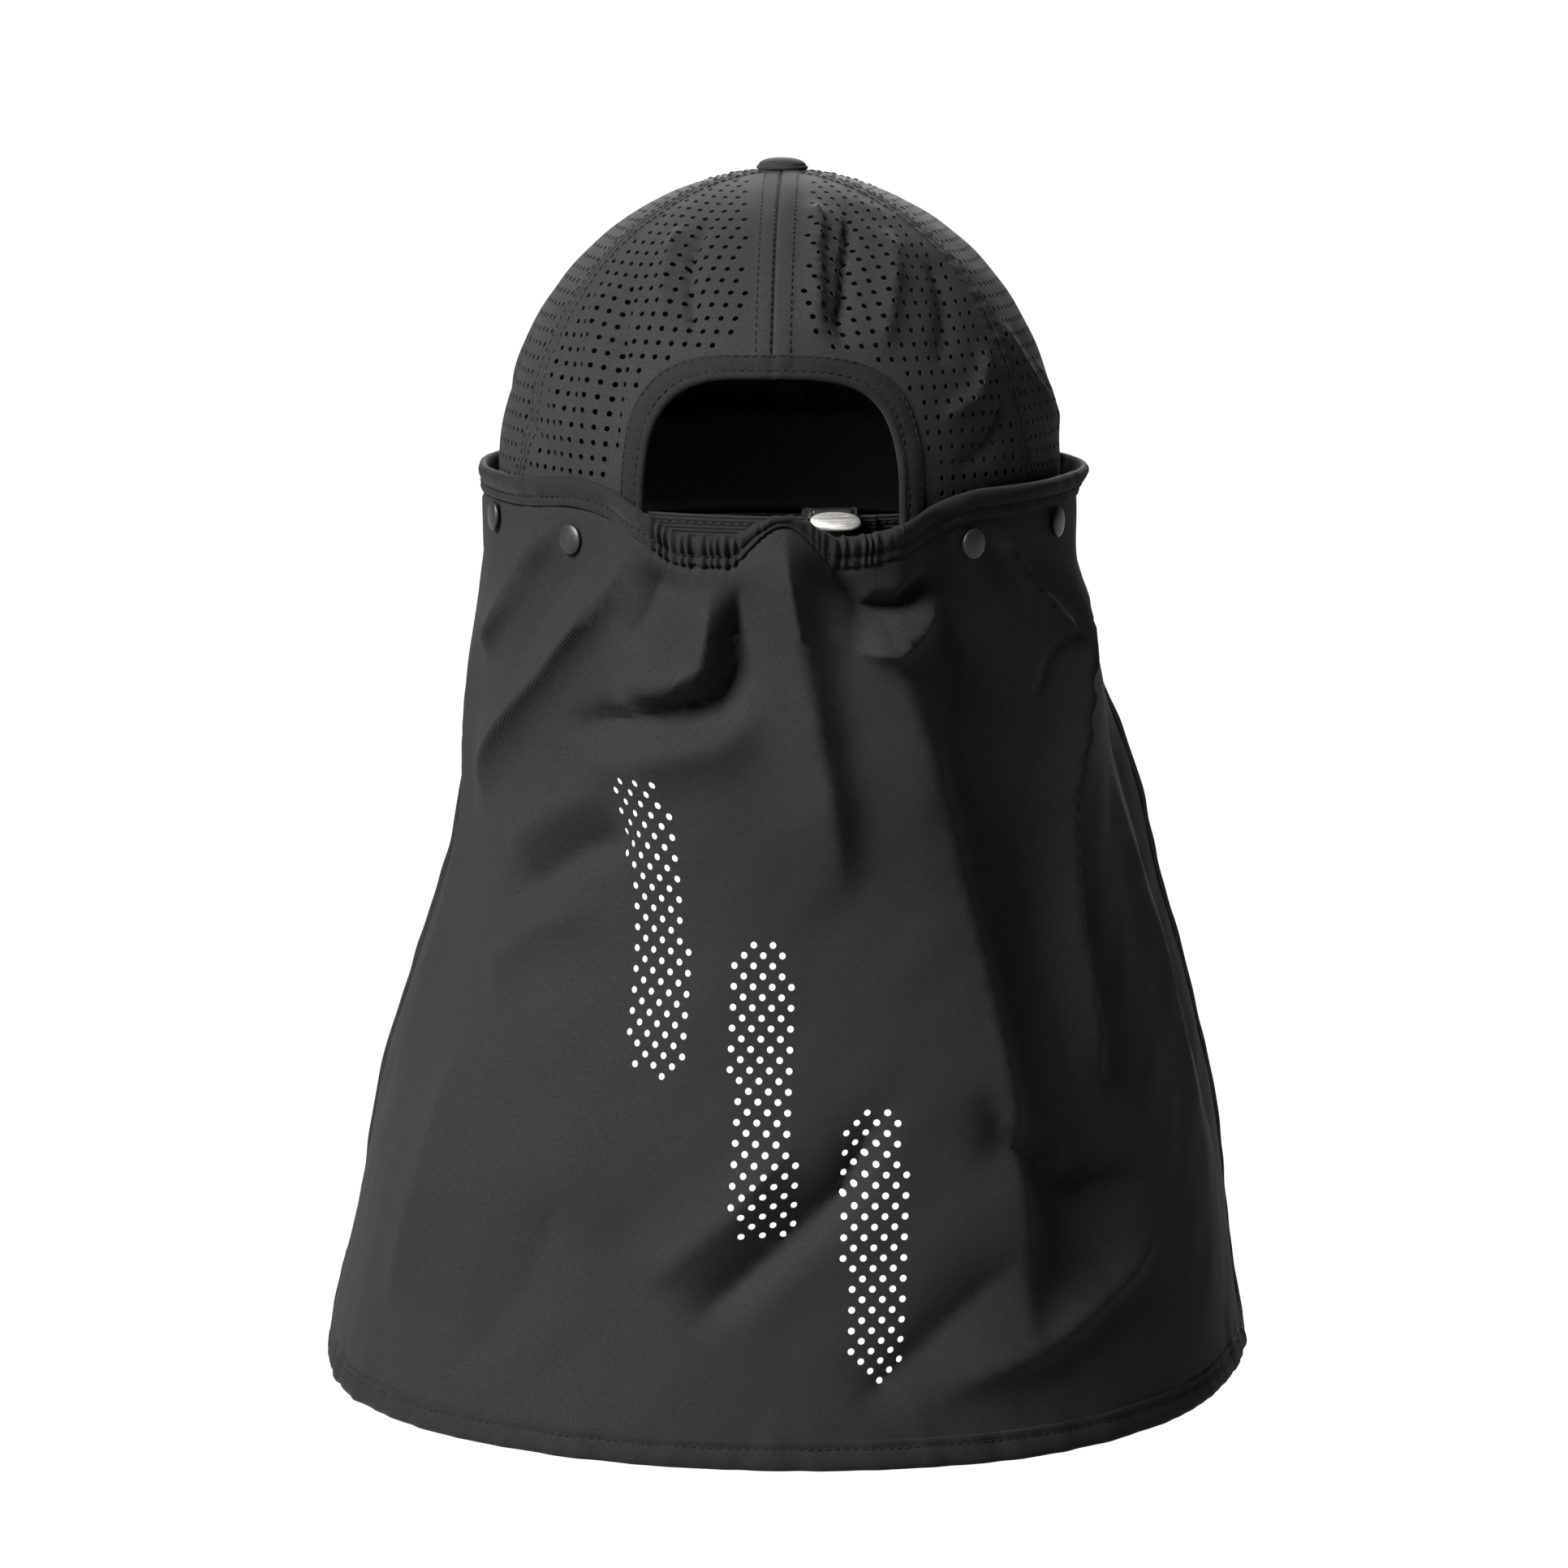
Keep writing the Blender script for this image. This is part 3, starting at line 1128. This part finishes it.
def crown_frame(turn, height, rise=0.0):
    """Local Z points out of the crown wall, local X round the head and local Y up."""
    out = Vector(crown_place(turn, height, 0.01) - crown_place(turn, height)).normalized()
    up = Vector((0, 0, 1))
    along = up.cross(out)
    axes = Matrix((along, up, out)).transposed().to_4x4()
    return Matrix.Translation(crown_place(turn, height, rise)) @ axes


def make_clasp_lever(looks):
    """The domed oval lever with its rolled rim and the barrel that turns on the pin."""
    at = crown_frame(CLASP_TURN, STRAP_BOTTOM + STRAP_WIDTH / 2) @ Matrix.Translation((0, PIN_UP, PIN_OUT))
    at = at @ Matrix.Rotation(radians(-COVER_TILT), 4, "X")
    dome = [(sin(angle), COVER_DOME * cos(angle) ** 0.8) for angle in np.linspace(0, pi / 2, 16)]
    section = [(max(radius, 0.02), height) for radius, height in dome]
    section += [(1.0, -0.00015), (0.99, -0.0004), (0.965, -0.0005), (0.93, -0.00042), (0.90, -0.0001)]
    section += [(0.6, 0.0006), (0.02, 0.0010)]
    angles = circle_angles(72)
    x, z = (np.sign(side) * np.abs(side) ** 0.90 for side in (np.cos(angles), np.sin(angles)))
    rings = np.array([
        np.column_stack([x * COVER_WIDTH / 2 * radius, 0 * x + height, z * COVER_LENGTH / 2 * radius])
        for radius, height in section
    ])  # fmt: skip
    rings = rings + np.array((0, 0.0002, COVER_LENGTH / 2 + 0.0010))
    lever = lofted("clasp_lever_dome", moved(rings, at), looks["silver"], "clasp_lever", "antique_silver")
    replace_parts(lever, "clasp_cover")
    angles = circle_angles(28)
    half = COVER_WIDTH / 2 - 0.0016
    section = ((-half, 0.0008), (-half, 0.0012), (-half + 0.0003, 0.0015))
    section += ((half - 0.0003, 0.0015), (half, 0.0012), (half, 0.0008), (half, PIN_BORE), (-half, PIN_BORE))
    rings = np.array([[(x, radius * cos(a), radius * sin(a)) for a in angles] for x, radius in section])
    barrel = lofted(
        "clasp_lever_barrel", moved(rings, at), looks["steel"], "clasp_lever", "antique_silver", closed=True
    )
    barrel.data.set_sharp_from_angle(angle=radians(40))


# Snaps


def turned(name, profile, matrix, look, body, slot, closed=False):
    """A turned piece from (radius, height) points that run from the top of the axis down its outside."""
    angles = circle_angles(48)
    rings = moved(np.array([[(r * cos(a), r * sin(a), z) for a in angles] for r, z in profile]), matrix)
    piece = lofted(name, rings, look, body, slot, closed=closed)
    piece.data.set_sharp_from_angle(angle=radians(38))
    return piece


def snap_profiles():
    half, stem, hole, axis = SNAP_DIAMETER / 2, 0.0015, 0.0018, 0.0001
    plate, rim = half * 0.88, half * 0.92
    foot = CAPE_RISE + 0.0006
    inside = -0.0024
    top = CAPE_RISE - 0.0012 - 0.00045
    cap = [(half * sin(radians(a)), foot + 0.0007 + 0.0012 * cos(radians(a))) for a in np.linspace(2, 90, 14)]
    cap += [(half, foot + 0.00035), (half - 0.0001, foot + 0.0001), (half - 0.0004, foot)]
    cap += [(stem, foot), (stem, top - 0.0003)]
    socket = (
        (hole, top), (half * 0.78, top), (plate, top - 0.0002), (rim, top - 0.0006), (rim, 0.0016),
        (half * 0.90, 0.0014), (0.0029, 0.0014), (0.0029, top - 0.0006), (hole, top - 0.0006),
    )  # fmt: skip
    stud = (
        (axis, 0.0027), (0.0013, 0.0027), (0.0019, 0.00262), (0.0023, 0.0023), (0.0023, 0.0020),
        (0.0020, 0.0014), (0.0020, 0.0010), (plate, 0.0010), (rim, 0.0008),
        (rim, 0.0004), (hole, 0.0004), (hole, 0.0009),
        (axis, 0.0009),
    )  # fmt: skip
    post = (
        (axis, 0.0006), (stem - 0.0002, 0.0006), (stem, 0.0004), (stem, inside), (plate, inside),
        (half * 0.9, inside - 0.0002), (half * 0.9, inside - 0.0006), (half * 0.86, inside - 0.0008),
        (axis, inside - 0.0008),
    )  # fmt: skip
    return {"cap": cap, "socket": socket, "stud": stud, "post": post}


def make_snaps(looks):
    finishes = {
        "cap": ("enamel", "snap_enamel", "cape"),
        "socket": ("silver", "antique_silver", "cape"),
        "stud": ("enamel", "snap_enamel", "cap"),
        "post": ("silver", "antique_silver", "cap"),
    }
    profiles = snap_profiles()
    for place, (turn, height) in SNAP_PLACES.items():
        for side, sign in (("left", -1), ("right", 1)):
            at = crown_frame(sign * turn, height)
            for part, (look, slot, body) in finishes.items():
                name = f"snap_{part}_{place}_{side}"
                closed = part == "socket"
                piece = turned(name + "_turned", profiles[part], at, looks[look], body, slot, closed)
                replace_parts(piece, name)


# Cape


def hem_route(inset):
    """The cape's outline as (turn, height), from one front edge's top round the hem to the other."""
    radius, start = CAPE_CORNER_RADIUS - inset, CAPE_HEM + CAPE_CORNER_RADIUS
    middle = np.array([sum(lean for lean, _, _ in CAPE_LEANS), 0])
    edge = float(np.linalg.norm(cape_place(CAPE_END_TURN, CAPE_HEM)[:2] - middle))
    centre_turn = CAPE_END_TURN - degrees(CAPE_CORNER_RADIUS / edge)
    corner_turn = degrees(radius / edge)
    heights = np.linspace(casing_bottom(CAPE_END_TURN), start, 60)
    widths = np.linalg.norm(cape_place(CAPE_END_TURN, heights)[:, :2], axis=1)
    turns = CAPE_END_TURN - np.degrees(inset / widths)
    near_corner = smooth_step(-heights / 0.2) ** 4
    side = np.column_stack([blend(turns, centre_turn + corner_turn, near_corner), heights])
    angles = np.radians(np.linspace(0, 90, 30))
    corner = np.column_stack([centre_turn + corner_turn * np.cos(angles), start - radius * np.sin(angles)])
    hem = np.column_stack([np.linspace(centre_turn, 0, 120), np.full(120, CAPE_HEM + inset)])
    right = np.vstack([side, corner[1:], hem[1:]])
    return np.vstack([right, right[::-1][1:] * np.array([-1, 1])])


def vent_field(across, along):
    """Where the cape's vents go: three slanted bars that step down across the back, an abstract pattern."""
    found = np.zeros(len(across), bool)
    for middle, height, reach in VENT_BARS:
        down = height - along
        centre = middle + 0.06 * down
        found |= (np.abs(across - centre) / VENT_BAR_WIDTH) ** 4 + np.abs(down / reach) ** 8 < 1
    return found


def cape_inner_points(outline, low, high, to_flat):
    """Points inside the cape's cloth: an even grid, finer at the gathers and along the sharp creases."""
    steps_x, steps_y = (np.arange(low[axis], high[axis], 0.0027) for axis in (0, 1))
    coarse = np.array([(x + 0.0007 * (index % 2), y) for index, y in enumerate(steps_y) for x in steps_x])
    steps_x, steps_y = np.arange(-0.048, 0.048, 0.00075), np.arange(-0.016, 0.022, 0.0014)
    fine = np.array([(x, y) for y in steps_y for x in steps_x])
    steps_x, steps_y = np.arange(-0.125, 0.125, 0.0009), np.arange(-0.072, FINE_BELOW, 0.0009)
    sharp = np.array([(x, y) for y in steps_y for x in steps_x])
    creases = [to_flat(np.array(line)) for line, *_ in CAPE_CREASES]
    sharp = sharp[np.min([line_distance(sharp, line) for line in creases], 0) < 0.0036]
    near_top = (np.abs(coarse[:, 0]) < 0.048) & (coarse[:, 1] > FINE_BELOW)
    near_crease = np.min([line_distance(coarse, line) for line in creases], 0) < 0.0042
    near_crease &= coarse[:, 1] < FINE_BELOW
    inner = np.vstack([coarse[~near_top & ~near_crease], fine, sharp])
    inner = inner[inside_ring(inner, outline)]
    return inner[ring_distance(inner, outline) > 0.0007]


def make_cape_cloth(looks):
    """The hanging sheet. Gives the piece with its flat size and flat area."""
    inset = HEM_BINDING_WIDTH * 0.55
    limit = CAPE_END_TURN - degrees(inset / 0.095)
    top_turns = np.linspace(-limit, limit, 420)[1:-1]
    top = np.column_stack([top_turns, casing_bottom(top_turns) + 0.0012])

    def to_flat(points):
        return np.column_stack([np.radians(points[:, 0]) * cape_scale(points[:, 1]), points[:, 1]])

    def place(across, along):
        turn = np.degrees(across / cape_scale(along))
        tucked = -0.0011 * smooth_step((along - casing_bottom(turn) + 0.0012) / 0.0012)
        return cape_skin(turn, along, tucked)

    outline = np.vstack([resampled(to_flat(hem_route(inset))[::-1], 0.0022), to_flat(top)[::-1]])
    pitch_x, pitch_y = CAPE_VENT_PITCH
    vents = []
    for row, along in enumerate(np.arange(-0.245, -0.030, pitch_y)):
        columns = np.arange(-14, 15) * pitch_x + (pitch_x / 2 if row % 2 else 0)
        vents += [(across, along) for across in columns[vent_field(columns, along)]]
    vents = np.array(vents)
    inner = cape_inner_points(outline, outline.min(0), outline.max(0), to_flat)
    inner = inner[vent_distance(inner, vents) > CAPE_VENT_RADIUS + 0.0005]
    return cut_cloth(
        "cape_cloth", "cape_body", outline, vents, CAPE_VENT_RADIUS, inner, place, looks["cape"],
        "cape", "cape_cloth",
    )


def casing_band(name, node_name, turns, profile_of, looks):
    """A band along the casing. profile_of(turn) gives (height, rise) arrays round its section."""
    rings, cloth = [], []
    for turn in turns:
        heights, rises = profile_of(turn)
        rings.append(cape_skin(turn, heights, rises))
        around = lengths_along(np.column_stack([heights, rises]))
        cloth.append(on_cloth(radians(turn) * CASING_RADIUS, around))
    piece = lofted(name, np.array(rings), looks["binding"], "cape", "cape_cloth", np.array(cloth))
    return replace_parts(piece, node_name)


CASING_SECTION = np.array([
    (0.00, -0.6), (0.02, 0.05), (0.07, 0.55), (0.16, 0.95), (0.28, 1.10), (0.42, 1.00), (0.54, 0.65),
    (0.62, 0.22), (0.66, 0.08), (0.70, 0.20), (0.78, 0.38), (0.88, 0.42), (0.96, 0.34), (1.00, 0.05),
    (1.00, -0.5), (0.90, -1.0), (0.66, -1.1), (0.50, -1.5), (0.30, -1.75), (0.14, -1.6), (0.04, -1.15),
])  # fmt: skip


def casing_section(turn):
    high, low = float(casing_top(turn)), float(casing_bottom(turn))
    down, rise = CASING_SECTION[:, 0], CASING_SECTION[:, 1] * 0.001
    return high - down * (high - low), rise


def make_casing_bands(looks):
    def profile_of(turn):
        heights, rises = casing_section(turn)
        along = radians(turn) * CASING_RADIUS
        soft = 0.00022 * ripples(np.full(len(rises), along), heights * 0.5, 0.016, 41)
        pinch = 0.00012 * wave_along(along, STITCH_PITCH) * (rises > 0)
        end = 1 - 0.35 * float(smooth_step((abs(turn) - CAPE_END_TURN + 3) / 3))
        return heights, (rises + soft + pinch) * end

    turns = np.linspace(ELASTIC_END_TURN - 0.6, CAPE_END_TURN, 150)
    return [
        casing_band("casing_band_" + side, "cape_top_band_" + side, sign * turns, profile_of, looks)
        for side, sign in (("left", -1), ("right", 1))
    ]


def make_elastic_casing(looks):
    """The gathered tube: pleats across it, pinched again along its stitching."""
    down = CASING_SECTION[:, 0]

    def profile_of(turn):
        heights, rises = casing_section(turn)
        gather = np.where(down > 0.66, pleats(turn, -0.003), pleats(turn, 0.0))
        flat = float(hump(turn))
        bulge = 1.0 + 0.5 * (1 - flat)
        fullness = 1 - np.abs(down - 0.33) / 0.9
        outer = CASING_SECTION[:, 1] > 0
        rises = np.where(outer, rises * bulge + gather * fullness * 0.00085, rises + 0.0002 * gather)
        heights = heights + 0.00075 * gather * (0.35 - down)
        lean = 0.0003 * wave_along(radians(turn) * GATHER_RADIUS, 0.0061)
        return heights + lean * (1 - down), rises + 0.0010 * flat * (1 - down)

    turns = np.linspace(-ELASTIC_END_TURN, ELASTIC_END_TURN, 330)
    return casing_band("elastic_casing_gathers", "cape_elastic_casing", turns, profile_of, looks)


def make_hem_binding(looks):
    """The folded strip round the cape's edge: flange, stitched valley and a rounded outer fold."""
    section = (
        (-0.0001, -0.0009), (-0.0003, -0.0004), (-0.0001, 0.0003), (0.0006, 0.0008), (0.0018, 0.00105),
        (0.0034, 0.00100), (0.0050, 0.00078), (0.0060, 0.00040), (0.0064, 0.00026), (0.0068, 0.00036),
        (0.0076, 0.00052), (0.0084, 0.00048), (0.0089, 0.00030), (0.0090, 0.00000), (0.0088, -0.0008),
        (0.0064, -0.0009), (0.0034, -0.0013), (0.0010, -0.0013),
    )  # fmt: skip
    runs = lengths_along(cape_skin(*hem_route(0.0).T))
    shares = np.linspace(0, 1, int(runs[-1] / 0.0016))
    along = shares * runs[-1]

    def line_at(inset, rise):
        route = hem_route(inset)
        spots = np.arange(len(route))
        at = np.interp(shares, runs / runs[-1], spots)
        turns, heights = (np.interp(at, spots, column) for column in route.T)
        soft = 0.00018 * ripples(along, 0 * along + inset, 0.014, 51)
        pinch = 0.00010 * wave_along(along, STITCH_PITCH) * (0.0045 < inset < 0.0085)
        join = 0.0006 * np.exp(-(((turns + 1.6) / 0.22) ** 2)) * (rise > 0) * (heights < CAPE_HEM + 0.012)
        points = cape_skin(turns, heights, rise + soft + pinch - join)
        return points, on_cloth(along, inset + (rise < 0) * 0.012)

    look = looks["binding"]
    return strip("hem_binding", "cape_edge_binding", section, line_at, look, "binding_cloth", "cape")


def make_cape_stitches(looks):
    thread = Stitching()

    def casing_row(first, last, count, down, rise, pitch):
        turns = np.linspace(first, last, count)
        high, low = casing_top(turns), casing_bottom(turns)
        thread.row(turns, high - down * (high - low), cape_skin, rise, pitch)

    for sign in (-1, 1):
        first, last = sign * (ELASTIC_END_TURN + 0.5), sign * (CAPE_END_TURN - 1.5)
        casing_row(first, last, 300, 0.665, 0.00030, STITCH_PITCH)
    reach = HUMP_REACH * 0.8
    for first, last in ((-ELASTIC_END_TURN, HUMP_TURN - reach), (HUMP_TURN + reach, ELASTIC_END_TURN)):
        casing_row(first, last, 160, 0.66, 0.00045, 0.0021)
    thread.row(*hem_route(0.0064).T, cape_skin, 0.00030)
    return thread.build("cape_stitches", looks["thread"], "cape", "cape_cloth")


# Stage


def make_camera():
    """Behind the cap, a little above it and to its right, with a long lens."""
    target = Vector((0.0022, 0, -0.077))
    distance, azimuth, elevation, roll = 2.2, radians(1.43), radians(8.0), radians(0.5)
    away = Vector((sin(azimuth) * cos(elevation), -cos(azimuth) * cos(elevation), sin(elevation)))
    level = Vector((cos(azimuth), sin(azimuth), 0))
    up = away.cross(level)
    axes = Matrix((level * cos(roll) + up * sin(roll), up * cos(roll) - level * sin(roll), away))
    data = bpy.data.cameras.new("camera")
    data.lens, data.sensor_width, data.clip_end = 161.5, 36.0, 400.0
    camera = bpy.data.objects.new("camera", data)
    camera.matrix_world = Matrix.Translation(target + away * distance) @ axes.transposed().to_4x4()
    bpy.context.scene.collection.objects.link(camera)
    bpy.context.scene.camera = camera


def soft_light(name, energy, turn, elevation, size):
    turn, elevation = radians(turn), radians(elevation)
    source = Vector((sin(turn) * cos(elevation), -cos(turn) * cos(elevation), sin(elevation)))
    light = bpy.data.lights.new(name, "SUN")
    light.energy = energy
    light.angle = radians(size)
    light.color = (1.0, 0.99, 0.975)
    lamp = bpy.data.objects.new(name, light)
    lamp.rotation_mode = "QUATERNION"
    lamp.rotation_quaternion = source.to_track_quat("Z", "Y")
    bpy.context.scene.collection.objects.link(lamp)


def make_stage():
    bpy.ops.mesh.primitive_plane_add(size=400, location=(0, 0, -1.0))
    floor = bpy.context.object
    floor.name = "floor"
    floor.data.materials.append(floor_look())
    world = bpy.data.worlds.new("studio")
    world.use_nodes = True
    world.node_tree.nodes["Background"].inputs["Color"].default_value = (0.97, 0.985, 1.0, 1)
    world.node_tree.nodes["Background"].inputs["Strength"].default_value = 0.14
    bpy.context.scene.world = world
    soft_light("key", 17.5, -47.0, 36.0, 30.0)
    soft_light("fill", 5.0, 180.0, 22.0, 30.0)
    bpy.context.scene.view_settings.view_transform = "Standard"


def finish_cad_nodes(looks):
    """Carried-over pieces keep their meshes and get these finishes."""
    finishes = {
        "visor_board": "board",
        "top_button_shank": "silver",
        "clasp_frame": "steel",
        "clasp_hinge_pin": "steel",
        "cape_elastic": "elastic",
    }
    for name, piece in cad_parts.items():
        look = finishes.get(name) or ("tape" if name.startswith("seam_tape") else None)
        if look:
            piece.data.materials.clear()
            piece.data.materials.append(looks[look])


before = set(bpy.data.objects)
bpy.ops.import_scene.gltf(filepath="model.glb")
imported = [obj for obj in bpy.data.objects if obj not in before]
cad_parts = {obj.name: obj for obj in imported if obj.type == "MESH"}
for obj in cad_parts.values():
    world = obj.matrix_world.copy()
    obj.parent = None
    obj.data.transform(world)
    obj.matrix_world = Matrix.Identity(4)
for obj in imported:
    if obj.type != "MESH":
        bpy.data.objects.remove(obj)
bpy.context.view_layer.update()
looks = make_looks()
finish_cad_nodes(looks)
make_crown(looks)
make_crown_stitches(looks)
make_arch_binding(looks)
make_button(looks)
make_sweatband(looks)
make_visor(looks)
make_visor_edge(looks)
make_strap(looks)
make_clasp_lever(looks)
make_snaps(looks)
cape, cape_flat, cape_area = make_cape_cloth(looks)
trims = make_casing_bands(looks)
trims += [make_elastic_casing(looks), make_hem_binding(looks), make_cape_stitches(looks)]
make_camera()
make_stage()
